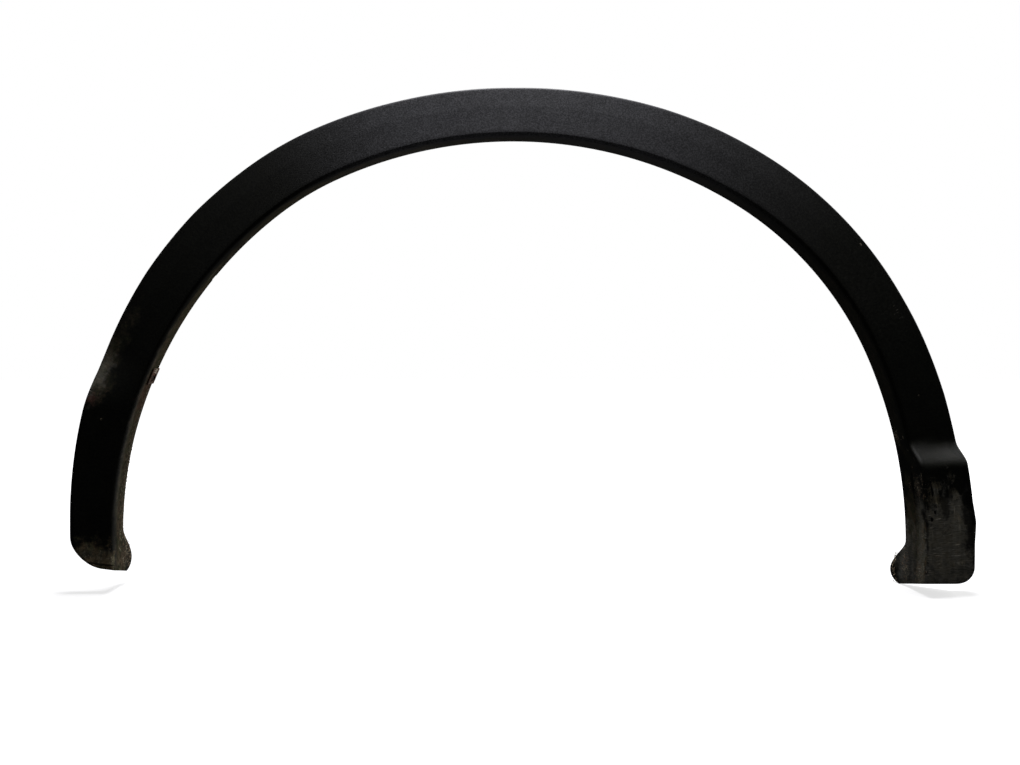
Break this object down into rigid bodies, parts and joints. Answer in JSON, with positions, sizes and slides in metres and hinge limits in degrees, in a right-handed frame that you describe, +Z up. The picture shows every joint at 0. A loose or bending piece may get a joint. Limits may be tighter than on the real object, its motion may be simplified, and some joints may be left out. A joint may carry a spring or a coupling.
{
  "type": "wheel arch trim",
  "caption": "Curved black plastic trim for a wheel arch, with a turned outer lip, a deep inner flange, stepped ends, a spring nut and push clips.",
  "frame": {"origin": "centre of the wheel opening, in the plane of the body panel that the outer lip rests on", "axes": "+X along the car to the stepped end, +Y into the car, +Z up as it is worn on the car; the face looks to -Y"},
  "size_m": [0.9062, 0.0859, 0.5099],
  "materials": {
    "moulding": "fine moulded grain, scuffed and dusty",
    "nut_metal": "rusted sheet steel",
    "clip_plastic": "smooth moulded"
  },
  "bodies": {
    "root": {"body": "moulding", "spring_nut": "nut_metal", "push_clips": "clip_plastic"}
  },
  "joints": []
}
